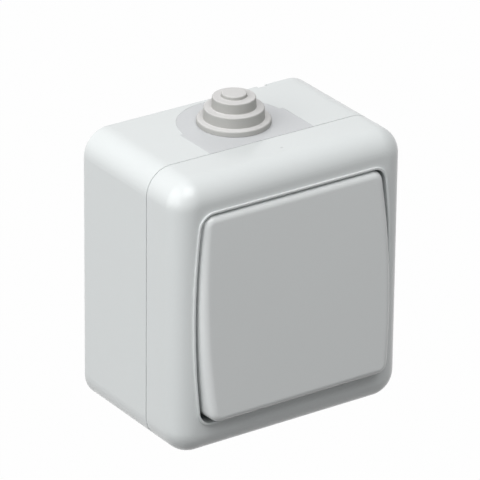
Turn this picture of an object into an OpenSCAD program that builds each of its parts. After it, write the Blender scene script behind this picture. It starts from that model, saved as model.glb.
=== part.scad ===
// Surface mounted one-gang light switch with a soft cable entry on top.
// Every piece is drawn with the wall at z = 0, its front towards +z and its top towards +y.
// on_wall() then stands it up: the wall plane becomes y = 0 and the front looks along -y.

/* [Housing] */
// Width of the housing
body_w = 66; // [64:0.5:72]
// Height of the housing
body_h = 71.5; // [69:0.5:78]
// Depth of the back box, up to the parting line
box_depth = 28; // [27:0.5:31]
// Depth of the cover frame in front of the parting line
cover_depth = 13.3; // [12.9:0.1:14.5]
// Radius of the four upright corners
corner_r = 6.8; // [6.5:0.1:8]
// Radius of the round between the sides and the front
edge_r = 5.9; // [4.8:0.1:6.1]
// Round on the back edge of the box
back_edge_r = 0.8; // [0.5:0.1:1.2]
// Wall thickness of the box and of the cover frame
wall_t = 2.2; // [2:0.1:2.5]
// Thickness of the box floor
floor_t = 2.4; // [2:0.1:2.8]
// Shadow gap at the parting line
seam_gap = 0.3; // [0.2:0.05:0.4]

/* [Opening] */
// Width of the opening at its middle
opening_w = 55.8; // [54.5:0.1:56.4]
// Height of the opening
opening_h = 54.6; // [53.5:0.1:56.4]
// How far the upright sides of the opening bow outwards
side_bow = 1.8; // [1.2:0.1:2.2]
// Corner radius of the opening
opening_corner_r = 3.6; // [3.2:0.1:4.4]
// Width of the raised rim round the opening
rim_w = 0.7; // [0.5:0.05:0.8]
// Height of the raised rim
rim_h = 0.35; // [0.2:0.05:0.5]
// Depth from the front of the frame to the floor of its well
well_depth = 11.3; // [11:0.1:11.8]
// Thickness of the well's floor
well_floor_t = 2; // [1.6:0.1:2.2]
// Thickness of the well's side wall
well_wall_t = 1.2; // [1:0.1:1.3]

/* [Rocker] */
// Gap beside the rocker
side_gap = 0.6; // [0.5:0.05:0.75]
// Gap above and below the rocker when it is level
end_gap = 1; // [0.95:0.05:1.2]
// How far the level rocker stands in front of the frame
rocker_proud = 2.7; // [2.2:0.1:3.2]
// Depth of the rocker's rim
rocker_rim = 7.5; // [6.8:0.1:7.8]
// Thickness of the rocker's face
rocker_face_t = 2; // [1.6:0.1:2.2]
// Thickness of the rocker's rim wall
rocker_wall_t = 1.5; // [1.2:0.1:1.8]
// Round on the rocker's front edge
rocker_edge_r = 1.5; // [1:0.1:1.7]
// Tilt of the rocker to each side of level
tilt = 4.3; // [3.6:0.1:4.5]
// Distance of the pivot axis behind the rocker's face
pivot_back = 9.8; // [9.5:0.1:10.2]

/* [Cable entry] */
// Width of the snap-in entry plate
plate_w = 29.8; // [28:0.2:31]
// Depth of the plate's straight sides, from the parting line
plate_side = 13.4; // [12.6:0.1:14]
// Radius of the plate's round end
plate_end_r = 13.9; // [13:0.1:14.3]
// Distance of the grommet's axis from the wall
entry_z = 15.6; // [15:0.1:16.4]
// Radius of the grommet's flange
flange_r = 9.05; // [8.4:0.05:9.6]
// Thickness of the grommet's flange
flange_t = 1.5; // [1.2:0.1:1.8]
// Radii of the grommet's steps, lowest first
step_r = [7.35, 5.3, 3.1];
// Rise of each step
step_h = [2.8, 2.7, 0.9];
// Wall thickness of the grommet's steps
grommet_t = 1; // [0.8:0.1:1.3]

/* [Mechanism] */
// Width of the mechanism
mech_w = 40; // [39.6:0.2:41]
// Height of the mechanism
mech_h = 37; // [36:0.2:37.6]
// Depth of the mechanism base
mech_d = 17; // [16.4:0.1:17.6]
// Thickness of the bearing bridge's plate
bridge_t = 2; // [1.6:0.1:2.2]
// Height of the rubber ring under the frame's window
window_seal_h = 3; // [2.6:0.1:3.4]
// Radius of the cradle's pivot pins
pin_r = 1.75; // [1.5:0.05:1.9]
// Tilt of the contact blade to each side of level
blade_tilt = 6; // [5:0.1:6.4]
// Length of the contact blade
blade_l = 26; // [25:0.1:26.4]
// Width of the contact blade
blade_w = 5; // [4.4:0.1:5.4]
// Thickness of the contact blade
blade_t = 0.9; // [0.7:0.05:1]
// Thickness of the brass strips
strip_t = 0.8; // [0.6:0.05:0.9]
// Radius of the plunger's collar
plunger_r = 2.3; // [2.1:0.05:2.5]
// Wire thickness of the plunger's spring
spring_wire = 0.5; // [0.4:0.05:0.6]
// Turns of the plunger's spring
spring_turns = 9; // [7:1:11]

/* [Screws] */
// Shank radius of the wall screws' holes
wall_hole_r = 2.3; // [2:0.05:2.6]
// Distance between the two wall screws
wall_hole_pitch = 53; // [51:0.5:54]
// Shank radius of the two cover screws
cover_screw_r = 1.75; // [1.5:0.05:1.8]
// Shank radius of the two mechanism screws
mech_screw_r = 1.5; // [1.3:0.05:1.6]
// Shank radius of the terminal screws
terminal_screw_r = 1.5; // [1.3:0.05:1.6]

/* [Clearances] */
// Gap between pieces that are pushed together
fit_gap = 0.1; // [0.05:0.01:0.15]
// Radial gap of a pin or plunger that moves in its bore
run_gap = 0.05; // [0.03:0.01:0.08]
// Gap between moving pieces that pass close by
move_gap = 0.3; // [0.2:0.05:0.4]

/* [Hidden] */

// Facets of an ordinary round, and of the long shallow side arcs
fine = 64;
arc_fine = 720;
// Angle at which the rocker's corner rounds meet its sides
corner_bite = 18;
$fn = fine;
// Reach of a cut past the face that it opens
past = 1;

housing_colour = [0.87, 0.89, 0.89];
plate_colour = [0.82, 0.83, 0.84];
grommet_colour = [0.70, 0.70, 0.69];
seal_colour = [0.25, 0.26, 0.27];
base_colour = [0.93, 0.92, 0.88];
bridge_colour = [0.80, 0.81, 0.80];
brass_colour = [0.80, 0.66, 0.33];
silver_colour = [0.83, 0.83, 0.82];
steel_colour = [0.68, 0.69, 0.70];

// Depth stations, measured from the wall
front_z = box_depth + cover_depth;
face_z = front_z + rocker_proud;
pivot_z = face_z - pivot_back;
well_z = front_z - well_depth;
well_under_z = well_z - well_floor_t;
bridge_top_z = well_under_z - window_seal_h;
base_top_z = bridge_top_z - bridge_t;
base_z = base_top_z - mech_d;

// Seam between box and cover: the box's lip, the rubber ring inside it and the frame's skirt
lip_t = wall_t / 2;
seal_h = 1.4;
skirt_t = 0.9;
skirt_reach = 2.5;
cover_joint_z = box_depth - 2;

// Screw places
cover_screw_x = opening_w / 2 - 7.4;
cover_screw_y = opening_h / 2 - 4.8;
pillar_r = 3.5;
cover_head_r = 2.9;
cover_head_h = 1.8;
head_pocket = 1;
screw_seal_t = 0.5;
cover_screw_l = 16;
mech_screw_x = mech_w / 2 - 4.5;
mech_screw_y = -(mech_h / 2 - 6);
mech_head_r = 2.8;
mech_flange_t = 3;
mech_screw_l = 7.5;
wall_collar_r = 4.5;
wall_collar_h = 2;

// Window in the well's floor, the rubber ring round it and the ears of the bridge inside it
window_gap = 0.2;
window_end = 3.5;
window_seal_t = 1.5;
window_w = mech_w - 2 * (fit_gap + window_seal_t + window_gap);
window_h = mech_h - 2 * window_end;
window_r = 3;
ear_t = 2.5;
ear_room = 0.5;
ear_r = pin_r + 1.3;
ear_x = window_w / 2 - ear_room - ear_t;
ear_foot = 2.4;
ear_foot_h = 3.2;

// Rocker outline and the cradle below it
rocker_w = opening_w - 2 * side_gap;
rocker_h = opening_h - 2 * end_gap;
rocker_corner_r = opening_corner_r - side_gap;
cradle_h = 23;
cradle_t = 2;
cradle_r = 1.5;
cradle_top = face_z - rocker_face_t - 2.5;
ear_gap = 2.2;
cradle_w = 2 * (ear_x - ear_gap);
cheek_t = 2;
cheek_rim = 2.2;
pin_reach = ear_gap + ear_t - move_gap;
rib_t = 1.2;
rib_inset = 2;
cradle_rib_r = cradle_w / 2 - cheek_t;
clip_x = cradle_w / 2 - 5;
clip_w = 4;
clip_t = 1.4;
clip_bite = 0.9;

// Contact chamber, with the blade level
chamber_w = 12;
chamber_h = 31;
base_floor_t = 1.4;
strip_z = base_z + base_floor_t;
blade_z = base_z + 5.5;
blade_under = 0.1;
contact_y = blade_l / 2 - 1.5;
contact_r = 1.5;
contact_h = 0.8;
fixed_contact_r = 1.7;
contact_drop = contact_y * sin(blade_tilt) + (contact_h - blade_under) * cos(blade_tilt)
    + contact_r * sin(blade_tilt);
fixed_top_z = blade_z - contact_drop - move_gap / 2;

// Plunger and its tube in the cradle
tip_r = 1.4;
tip_gap = move_gap / 2;
tip_z = blade_z + blade_under + blade_t + tip_gap;
tube_r = plunger_r + run_gap + 1.15;
tip_reach = 3.8;
tube_z = tip_z + tip_reach;
tube_lip = 0.6;
collar_h = 1.5;
collar_z = tube_z + tube_lip + fit_gap;
spring_seat_z = cradle_top - cradle_t;
spring_r = plunger_r - spring_wire / 2 - 0.1;
spring_z = collar_z + collar_h + fit_gap;

// Entry plate and grommet
plate_lap = 1.4;
plate_flange_t = 1.2;
grommet_neck_r = 6.4;
inner_flange_r = 7.6;
inner_flange_t = 1.2;
neck_l = wall_t + fit_gap + plate_flange_t + fit_gap;
neck_bore_r = grommet_neck_r - grommet_t - 0.4;

// Terminals
terminal_edge = 6;
terminal_x = mech_w / 2 - terminal_edge;
terminal_y = mech_h / 2 - 8;
terminal_w = 7;
terminal_l = 9;
terminal_h = 8.8;
pocket_w = 8.8;
pocket_wall = 2;
wire_r = 1.8;
wire_rise = 4.2;
wire_z = strip_z + strip_t + wire_rise;
wire_mouth_r = 2.7;
terminal_head_r = 2.5;
terminal_head_h = 1.6;
// Lower end of the terminal pockets, above the screw lugs
pocket_low = 11;
// Width of the line tongue, and of the load strip where it is broad and where it passes the blade
tongue_w = 5;
load_run_w = 4.6;
side_run_w = 2.4;
// Lower edge of the load strip where it crosses into the terminal pocket
cross_y = -mech_h / 2 + pocket_low + 1.5;

// Latches that hold the bridge on the base, and openings in the bridge's plate
latch_w = 10;
latch_d = 0.9;
latch_h = 1.6;
latch_t = 1.2;
latch_z = base_top_z - 8;
slot_w = 2 * tube_r + 2.4;
slot_h = 2 * tube_r + 6;
access_r = 3.1;

// Small moulding mark on top of the frame
speck_z = 5.8;
speck_r = 0.5;
speck_d = 0.15;

// Stands a piece drawn with its back on z = 0 up against the wall
module on_wall() {
    rotate([90, 0, 0]) children();
}

// Turns a piece about the rocker's pivot axis into its place at rest, with the top pressed in
module at_rest() {
    translate([0, 0, pivot_z]) rotate([-tilt, 0, 0]) translate([0, 0, -pivot_z]) children();
}

// Turns a piece about the blade's axis into its place at rest, with the lower end in
module blade_at_rest() {
    translate([0, 0, blade_z]) rotate([blade_tilt, 0, 0]) translate([0, 0, -blade_z]) children();
}

// Rectangle with round corners
module rounded_rect(w, h, r) {
    square([w - 2 * r, h], center = true);
    square([w, h - 2 * r], center = true);
    for (sx = [-1, 1], sy = [-1, 1])
        translate([sx * (w / 2 - r), sy * (h / 2 - r)]) circle(r);
}

// Plate with round corners
module rounded_plate(w, h, r, t) {
    linear_extrude(t) rounded_rect(w, h, r);
}

// Section of a block whose two front edges are rounded
module soft_section(w, depth, edge) {
    translate([-w / 2, 0]) square([w, depth - edge]);
    translate([-w / 2 + edge, 0]) square([w - 2 * edge, depth]);
    for (s = [-1, 1])
        translate([s * (w / 2 - edge), depth - edge]) circle(edge);
}

// Half section of a solid of radius r whose upper outer edge is rounded
module soft_disc(r, depth, edge) {
    square([r, depth - edge]);
    square([r - edge, depth]);
    translate([r - edge, depth - edge]) intersection() {
        circle(edge, $fn = fine);
        square(edge);
    }
}

// Block with round corners and a rounded front edge
module soft_block(w, h, r, depth, edge) {
    for (sx = [-1, 1], sy = [-1, 1])
        translate([sx * (w / 2 - r), sy * (h / 2 - r), 0]) rotate_extrude() soft_disc(r, depth, edge);
    rotate([90, 0, 90]) linear_extrude(w - 2 * r, center = true) soft_section(h, depth, edge);
    rotate([90, 0, 0]) linear_extrude(h - 2 * r, center = true) soft_section(w, depth, edge);
}

// Radius of a side that bows out by bow over the height h
function bow_r(h, bow) = (h * h / 4 + bow * bow) / (2 * bow);
// Distance of a side arc's centre past the middle, and the corner circle's centre
function bow_cx(w, h, bow) = bow_r(h, bow) - w / 2;
function corner_y(h, r) = h / 2 - r;
function corner_x(w, h, bow, r) =
    sqrt(pow(bow_r(h, bow) - r, 2) - pow(corner_y(h, r), 2)) - bow_cx(w, h, bow);

// Outline with straight ends, bowed sides and round corners
module bowed_outline(w, h, bow, r) {
    big = bow_r(h, bow);
    cx = bow_cx(w, h, bow);
    xc = corner_x(w, h, bow, r);
    yc = corner_y(h, r);
    meet_y = yc * big / (big - r);
    square([2 * xc, h], center = true);
    intersection() {
        translate([-cx, 0]) circle(big, $fn = arc_fine);
        translate([cx, 0]) circle(big, $fn = arc_fine);
        square([w + 2, 2 * meet_y], center = true);
    }
    for (sx = [-1, 1], sy = [-1, 1])
        translate([sx * xc, sy * yc]) circle(r);
}

// Outline with straight ends and bowed sides that meet in plain corners
module bowed_panel(w, h, bow) {
    big = bow_r(h, bow);
    cx = bow_cx(w, h, bow);
    intersection() {
        translate([-cx, 0]) circle(big, $fn = arc_fine);
        translate([cx, 0]) circle(big, $fn = arc_fine);
        square([w + 2, h], center = true);
    }
}

// Block with bowed sides and a rounded front edge: two great discs give its sides, a bar gives its
// straight ends, and the corners are cut round
module bowed_block(w, h, bow, r, depth, edge) {
    big = bow_r(h, bow);
    cx = bow_cx(w, h, bow);
    round_y = h / 2 - r * cos(corner_bite);
    meet_y = round_y + r * sin(corner_bite);
    round_x = sqrt(big * big - meet_y * meet_y) - cx - r * cos(corner_bite);
    difference() {
        intersection() {
            translate([-cx, 0, 0]) rotate([0, 0, 180]) great_disc(big, depth, edge);
            translate([cx, 0, 0]) great_disc(big, depth, edge);
            rotate([90, 0, 90]) linear_extrude(w + 2, center = true) soft_section(h, depth, edge);
        }
        for (sx = [0, 1], sy = [0, 1])
            mirror([sx, 0, 0]) mirror([0, sy, 0]) translate([round_x, round_y, -past])
                linear_extrude(depth + 2 * past) difference() {
                    square(2 * r);
                    circle(r);
                }
    }
}

// Disc whose upper outer edge is rounded
module great_disc(r, depth, edge) {
    rotate_extrude($fn = arc_fine) soft_disc(r, depth, edge);
}

// Two places on a diagonal of the housing, for the cover screws
module at_cover_screws() {
    for (s = [-1, 1])
        translate([s * cover_screw_x, -s * cover_screw_y, 0]) children();
}

// Two places at the bottom of the mechanism, for its own screws
module at_mech_screws() {
    for (s = [-1, 1])
        translate([s * mech_screw_x, mech_screw_y, 0]) children();
}

// Two places at the sides of the mechanism, for the terminals
module at_terminals() {
    for (s = [-1, 1])
        translate([s * terminal_x, 0, 0]) children();
}

// Outline of the entry plate's opening in the top wall, from the parting line down
module entry_outline(gap) {
    side_z = box_depth - plate_side;
    translate([-plate_w / 2 + gap, side_z + gap])
        square([plate_w - 2 * gap, plate_side + past]);
    translate([0, entry_z]) circle(plate_end_r - gap);
}

// Back box: shell, rebate for the rubber ring, pillars, seats and screw holes
module base_box() on_wall() color(housing_colour) difference() {
    union() {
        difference() {
            translate([0, 0, box_depth - seam_gap]) mirror([0, 0, 1])
                soft_block(body_w, body_h, corner_r, box_depth - seam_gap, back_edge_r);
            translate([0, 0, floor_t])
                rounded_plate(body_w - 2 * wall_t, body_h - 2 * wall_t, corner_r - wall_t, box_depth);
            translate([0, 0, box_depth - seal_h - fit_gap])
                rounded_plate(body_w - 2 * lip_t, body_h - 2 * lip_t, corner_r - lip_t, box_depth);
        }
        at_cover_screws() cylinder(r = pillar_r, h = cover_joint_z);
        at_mech_screws() cylinder(r = mech_head_r, h = base_z);
        for (s = [-1, 1])
            translate([s * mech_screw_x, -mech_screw_y, 0]) cylinder(r = mech_head_r, h = base_z);
        for (s = [-1, 1])
            translate([0, s * wall_hole_pitch / 2, 0])
                cylinder(r = wall_collar_r, h = floor_t + wall_collar_h);
        entry_guides();
    }
    at_cover_screws() translate([0, 0, cover_joint_z - cover_screw_l])
        cylinder(r = cover_screw_r + run_gap, h = cover_screw_l + past);
    at_mech_screws() translate([0, 0, base_z - mech_screw_l + mech_flange_t + 0.5])
        cylinder(r = mech_screw_r + run_gap, h = mech_screw_l);
    for (s = [-1, 1])
        translate([0, s * wall_hole_pitch / 2, -past])
            cylinder(r = wall_hole_r, h = floor_t + wall_collar_h + 2 * past);
    translate([0, body_h / 2 + past, 0]) rotate([90, 0, 0])
        linear_extrude(wall_t + 2 * past) entry_outline(0);
    rear_knockout();
    lower_knockout();
    drain_notch();
}

// Rails inside the top wall that hold the entry plate's flange
module entry_guides() {
    rail_w = 1.6;
    for (s = [-1, 1])
        translate([s * (plate_w / 2 + plate_lap + fit_gap + rail_w / 2), 0, floor_t])
            translate([-rail_w / 2, body_h / 2 - wall_t - plate_flange_t - 1, 0])
                cube([rail_w, plate_flange_t + 1 + wall_t / 2, box_depth - seal_h - floor_t - skirt_reach]);
}

// Thin ring pressed into the inside of the floor, to break out for a cable from the rear
module rear_knockout() {
    ring_r = 8;
    ring_w = 1;
    translate([0, 0, floor_t / 2]) difference() {
        cylinder(r = ring_r + ring_w, h = floor_t);
        translate([0, 0, -past]) cylinder(r = ring_r, h = floor_t + 2 * past);
    }
}

// Round knock-out in the bottom wall, marked by a fine groove outside
module lower_knockout() {
    ring_r = 10;
    ring_w = 0.7;
    ring_depth = 0.5;
    translate([0, -body_h / 2, entry_z]) rotate([90, 0, 0]) difference() {
        translate([0, 0, -ring_depth]) cylinder(r = ring_r + ring_w / 2, h = ring_depth + past);
        translate([0, 0, -ring_depth - past]) cylinder(r = ring_r - ring_w / 2, h = ring_depth + 3 * past);
    }
}

// Small notch in the back edge of the top wall
module drain_notch() {
    notch_x = 18.3;
    notch_w = 2.8;
    notch_d = 1.4;
    translate([notch_x - notch_w / 2, body_h / 2 - wall_t, -past])
        cube([notch_w, wall_t + past, notch_d + past]);
}

// Snap-in plate with the cable entry, flush with the top wall
module entry_plate() on_wall() color(plate_colour) difference() {
    union() {
        translate([0, body_h / 2, 0]) rotate([90, 0, 0])
            linear_extrude(wall_t + fit_gap) intersection() {
                entry_outline(fit_gap);
                plate_limit();
            }
        translate([0, body_h / 2 - wall_t - fit_gap, 0]) rotate([90, 0, 0])
            linear_extrude(plate_flange_t) intersection() {
                entry_outline(-plate_lap);
                translate([0, floor_t + fit_gap]) plate_limit();
            }
    }
    translate([0, body_h / 2 + past, entry_z]) rotate([90, 0, 0])
        cylinder(r = grommet_neck_r + fit_gap / 2, h = wall_t + plate_flange_t + 3 * past);
    translate([0, 0, box_depth - seal_h - fit_gap])
        rounded_ring(body_w - 2 * lip_t, body_h - 2 * lip_t, corner_r - lip_t, 2 * wall_t, box_depth);
    translate([0, 0, box_depth - skirt_reach - fit_gap])
        rounded_ring(body_w - 2 * wall_t, body_h - 2 * wall_t, corner_r - wall_t, 2 * wall_t, box_depth);
}

// Everything behind the parting line, so that the plate ends at the seam
module plate_limit() {
    translate([-body_w / 2, 0]) square([body_w, box_depth - seam_gap]);
}

// Upright ring with round corners, of the given thickness inwards
module rounded_ring(w, h, r, t, depth) {
    linear_extrude(depth) difference() {
        rounded_rect(w, h, r);
        rounded_rect(w - 2 * t, h - 2 * t, max(r - t, 0.3));
    }
}

// Soft stepped grommet that is cut to suit the cable
module cable_grommet() on_wall() color(grommet_colour)
    translate([0, body_h / 2, entry_z]) rotate([-90, 0, 0]) rotate_extrude() difference() {
        union() {
            soft_disc(flange_r, flange_t, 0.45);
            for (i = [0 : len(step_r) - 1])
                soft_disc(step_r[i], step_rise(i), 0.3);
            translate([0, -neck_l]) square([grommet_neck_r - fit_gap / 2, neck_l]);
            translate([0, -neck_l - inner_flange_t]) square([inner_flange_r, inner_flange_t]);
        }
        translate([0, -neck_l - inner_flange_t - past])
            square([neck_bore_r, neck_l + inner_flange_t + past + flange_t]);
        for (i = [0 : len(step_r) - 2])
            square([min(step_r[i] - grommet_t, neck_bore_r), step_rise(i) - grommet_t]);
    }

// Height of a step's top above the wall's face
function total(list, n) = n < 0 ? 0 : list[n] + total(list, n - 1);
function step_rise(i) = flange_t + total(step_h, i);

// Rubber ring in the box's rebate, under the cover frame
module box_seal() on_wall() color(seal_colour)
    translate([0, 0, box_depth - seal_h])
        rounded_ring(body_w - 2 * lip_t - fit_gap, body_h - 2 * lip_t - fit_gap,
            corner_r - lip_t - fit_gap / 2, wall_t - lip_t - fit_gap, seal_h);

// Cover frame: rounded shell, well for the rocker, window and screw towers
module cover_frame() on_wall() color(housing_colour) difference() {
    union() {
        difference() {
            translate([0, 0, box_depth])
                soft_block(body_w, body_h, corner_r, cover_depth, edge_r);
            translate([0, 0, box_depth - past])
                soft_block(body_w - 2 * wall_t, body_h - 2 * wall_t, corner_r - wall_t,
                    cover_depth - wall_t + past, edge_r - wall_t);
        }
        translate([0, 0, front_z - edge_r]) linear_extrude(edge_r + rim_h)
            bowed_outline(opening_w + 2 * rim_w, opening_h + 2 * rim_w, side_bow, opening_corner_r + rim_w);
        translate([0, 0, well_under_z]) linear_extrude(front_z - well_under_z)
            bowed_outline(opening_w + 2 * well_wall_t, opening_h + 2 * well_wall_t, side_bow,
                opening_corner_r + well_wall_t);
        translate([0, 0, box_depth - skirt_reach])
            rounded_ring(body_w - 2 * wall_t - 2 * fit_gap, body_h - 2 * wall_t - 2 * fit_gap,
                corner_r - wall_t - fit_gap, skirt_t, skirt_reach + wall_t);
        translate([0, 0, box_depth])
            rounded_ring(body_w - wall_t, body_h - wall_t, corner_r - wall_t / 2,
                wall_t / 2 + fit_gap + skirt_t, wall_t);
        at_cover_screws() translate([0, 0, cover_joint_z])
            cylinder(r = pillar_r, h = well_under_z - cover_joint_z + past);
    }
    translate([0, 0, well_z]) linear_extrude(front_z)
        bowed_outline(opening_w, opening_h, side_bow, opening_corner_r);
    translate([0, 0, well_under_z - past])
        rounded_plate(window_w, window_h, window_r, well_floor_t + 2 * past);
    at_cover_screws() {
        translate([0, 0, cover_joint_z - past])
            cylinder(r = cover_screw_r + run_gap, h = front_z);
        translate([0, 0, well_z - head_pocket]) cylinder(r = cover_head_r + 0.3, h = front_z);
    }
    translate([0, body_h / 2, box_depth + speck_z]) rotate([90, 0, 0])
        translate([0, 0, -past]) cylinder(r = speck_r, h = past + speck_d);
}

// Screw with a domed head and a straight slot, seated with its head's underside at z = 0
module slotted_screw(shank_r, shank_l, head_r, head_h) difference() {
    union() {
        translate([0, 0, -shank_l]) cylinder(r = shank_r, h = shank_l + head_h / 2);
        translate([0, 0, -shank_l - shank_r / 2]) cylinder(r1 = shank_r / 2, r2 = shank_r, h = shank_r / 2);
        rotate_extrude() soft_disc(head_r, head_h, head_h / 3);
    }
    slot_w = head_r / 4;
    translate([-head_r - past, -slot_w / 2, head_h / 2]) cube([2 * (head_r + past), slot_w, head_h]);
}

// Screws in the well's floor, under the rocker
module cover_screws() on_wall() color(steel_colour) at_cover_screws()
    translate([0, 0, well_z - head_pocket + screw_seal_t])
        slotted_screw(cover_screw_r, cover_screw_l - 3, cover_head_r, cover_head_h);

// Sealing washers under the cover screws' heads
module screw_seals() on_wall() color(seal_colour) at_cover_screws()
    translate([0, 0, well_z - head_pocket]) difference() {
        cylinder(r = cover_head_r, h = screw_seal_t);
        translate([0, 0, -past]) cylinder(r = cover_screw_r + run_gap, h = screw_seal_t + 2 * past);
    }

// Rubber ring between the bearing bridge and the frame's window
module window_seal() on_wall() color(seal_colour) {
    hole_w = window_w + 2 * window_gap;
    hole_h = window_h + 2 * window_gap;
    ring_w = hole_w + 2 * window_seal_t;
    ring_h = hole_h + 2 * window_seal_t;
    lip = window_seal_h / 3;
    waist = 0.4;
    translate([0, 0, bridge_top_z]) difference() {
        union() {
            for (z = [0, 2 * lip])
                translate([0, 0, z]) rounded_plate(ring_w, ring_h, window_r + window_seal_t, lip);
            translate([0, 0, lip / 2])
                rounded_plate(ring_w - 2 * waist, ring_h - 2 * waist, window_r + window_seal_t - waist,
                    2 * lip);
        }
        translate([0, 0, -past])
            rounded_plate(hole_w, hole_h, window_r, window_seal_h + 2 * past);
    }
}

// Insulating base: contact chamber, two terminal pockets and screw lugs
module mechanism_base() on_wall() color(base_colour) difference() {
    translate([0, 0, base_z]) rounded_plate(mech_w, mech_h, 2, mech_d);
    translate([0, 0, strip_z])
        rounded_plate(chamber_w, chamber_h, 1, mech_d);
    at_terminals() {
        translate([-pocket_w / 2, -mech_h / 2 + pocket_low, strip_z])
            cube([pocket_w, mech_h - pocket_low - pocket_wall, mech_d]);
        translate([0, mech_h / 2 + past, wire_z]) rotate([90, 0, 0])
            cylinder(r = wire_mouth_r, h = pocket_wall + 2 * past);
    }
    translate([-terminal_x, terminal_y - tongue_w / 2, strip_z])
        cube([terminal_x, tongue_w, strip_t + fit_gap]);
    translate([0, cross_y - fit_gap, strip_z])
        cube([terminal_x, load_run_w + 2 * fit_gap, strip_t + fit_gap]);
    at_mech_screws() {
        translate([0, 0, base_z - past]) cylinder(r = mech_screw_r + run_gap, h = mech_d);
        translate([0, 0, base_z + mech_flange_t]) cylinder(r = mech_head_r + 0.3, h = mech_d);
    }
    for (s = [-1, 1])
        translate([-latch_w / 2 - fit_gap, s * mech_h / 2 - latch_d, latch_z - fit_gap])
            cube([latch_w + 2 * fit_gap, 2 * latch_d, latch_h + 2 * fit_gap]);
}

// Screws that hold the mechanism to the box
module mechanism_screws() on_wall() color(steel_colour) at_mech_screws()
    translate([0, 0, base_z + mech_flange_t])
        slotted_screw(mech_screw_r, mech_screw_l - mech_screw_r, mech_head_r, 1.8);

// Bridge over the base with the two bearing ears of the cradle
module bearing_bridge() on_wall() color(bridge_colour) difference() {
    union() {
        translate([0, 0, base_top_z]) rounded_plate(mech_w, mech_h, 2, bridge_t);
        for (s = [-1, 1])
            translate([s * (ear_x + ear_t / 2), 0, 0]) bearing_ear();
        for (s = [0, 1])
            mirror([0, s, 0]) bridge_latch();
    }
    translate([0, 0, base_top_z - past])
        rounded_plate(slot_w, slot_h, 1, bridge_t + 2 * past);
    at_terminals() translate([0, terminal_y, base_top_z - past])
        cylinder(r = access_r, h = bridge_t + 2 * past);
    at_mech_screws() translate([0, 0, base_top_z - past])
        cylinder(r = access_r, h = bridge_t + 2 * past);
    translate([-mech_w, 0, pivot_z]) rotate([0, 90, 0])
        cylinder(r = pin_r + run_gap, h = 2 * mech_w);
}

// Ear with a round top about the pivot
module bearing_ear() {
    translate([-ear_t / 2, 0, pivot_z]) rotate([0, 90, 0]) cylinder(r = ear_r, h = ear_t);
    translate([-ear_t / 2, -ear_r, base_top_z]) cube([ear_t, 2 * ear_r, pivot_z - base_top_z]);
    rotate([90, 0, 90]) linear_extrude(ear_t, center = true)
        polygon([[-ear_r - ear_foot, bridge_top_z], [ear_r + ear_foot, bridge_top_z],
            [ear_r, bridge_top_z + ear_foot_h], [-ear_r, bridge_top_z + ear_foot_h]]);
}

// Leg that snaps into the recess in the side of the base
module bridge_latch() {
    side_y = mech_h / 2 + fit_gap;
    translate([-latch_w / 2, side_y, latch_z]) cube([latch_w, latch_t, base_top_z + bridge_t - latch_z]);
    translate([-latch_w / 2, side_y - 1, base_top_z]) cube([latch_w, 1 + latch_t, bridge_t]);
    translate([0, side_y, latch_z]) rotate([90, 0, 90]) linear_extrude(latch_w, center = true)
        polygon([[0, 0], [-0.25, 0], [-latch_d + fit_gap, latch_h / 2], [-latch_d + fit_gap, latch_h],
            [0, latch_h]]);
}

// Cradle that carries the rocker: plate, cheeks with pivot pins, and the plunger's tube
module cradle() on_wall() color(bridge_colour) at_rest() difference() {
    union() {
        translate([0, 0, cradle_top - cradle_t]) rounded_plate(cradle_w, cradle_h, cradle_r, cradle_t);
        for (s = [0, 1])
            mirror([s, 0, 0]) cradle_cheek();
        translate([0, 0, tube_z]) cylinder(r = tube_r, h = cradle_top - tube_z);
        for (a = [0, 90])
            rotate([0, 0, a]) translate([-cradle_rib_r, -rib_t / 2, pivot_z])
                cube([2 * cradle_rib_r, rib_t, cradle_top - cradle_t / 2 - pivot_z]);
    }
    translate([0, 0, tube_z - past]) cylinder(r = tip_r + 2 * run_gap, h = tube_lip + 2 * past);
    translate([0, 0, tube_z + tube_lip])
        cylinder(r = plunger_r + run_gap, h = spring_seat_z - tube_z - tube_lip);
    for (s = [-1, 1], sx = [-1, 1])
        translate([sx * clip_x - clip_w / 2 - fit_gap, s * (cradle_h / 2) - clip_bite - fit_gap,
            cradle_top - cradle_t - past])
            mirror([0, s > 0 ? 0 : 1, 0])
                cube([clip_w + 2 * fit_gap, clip_bite + fit_gap + past, cradle_t + 2 * past]);
}

// One side of the cradle with its pivot pin
module cradle_cheek() {
    cheek_r = pin_r + cheek_rim;
    x0 = cradle_w / 2 - cheek_t;
    translate([x0, 0, pivot_z]) rotate([0, 90, 0]) cylinder(r = cheek_r, h = cheek_t);
    translate([x0, -cheek_r, pivot_z]) cube([cheek_t, 2 * cheek_r, cradle_top - cradle_t / 2 - pivot_z]);
    translate([x0 + cheek_t / 2, 0, pivot_z]) rotate([0, 90, 0])
        cylinder(r = pin_r, h = pin_reach + cheek_t / 2);
}

// Rocker: one big face with a bowed outline, a rim behind it, and clips for the cradle
module rocker() on_wall() color(housing_colour) at_rest() union() {
    rim_z = face_z - rocker_rim;
    cave_w = rocker_w - 2 * rocker_wall_t;
    cave_h = rocker_h - 2 * rocker_wall_t;
    difference() {
        translate([0, 0, rim_z])
            bowed_block(rocker_w, rocker_h, side_bow, rocker_corner_r, rocker_rim, rocker_edge_r);
        translate([0, 0, rim_z - past]) linear_extrude(rocker_rim - rocker_face_t + past)
            bowed_panel(cave_w, cave_h, side_bow);
    }
    for (s = [-1, 1])
        translate([s * clip_x - rib_t / 2, -cradle_h / 2 + rib_inset, cradle_top])
            cube([rib_t, cradle_h - 2 * rib_inset, face_z - rocker_face_t / 2 - cradle_top]);
    for (sx = [-1, 1], sy = [0, 1])
        mirror([0, sy, 0]) translate([sx * clip_x, 0, 0]) rocker_clip();
}

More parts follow.
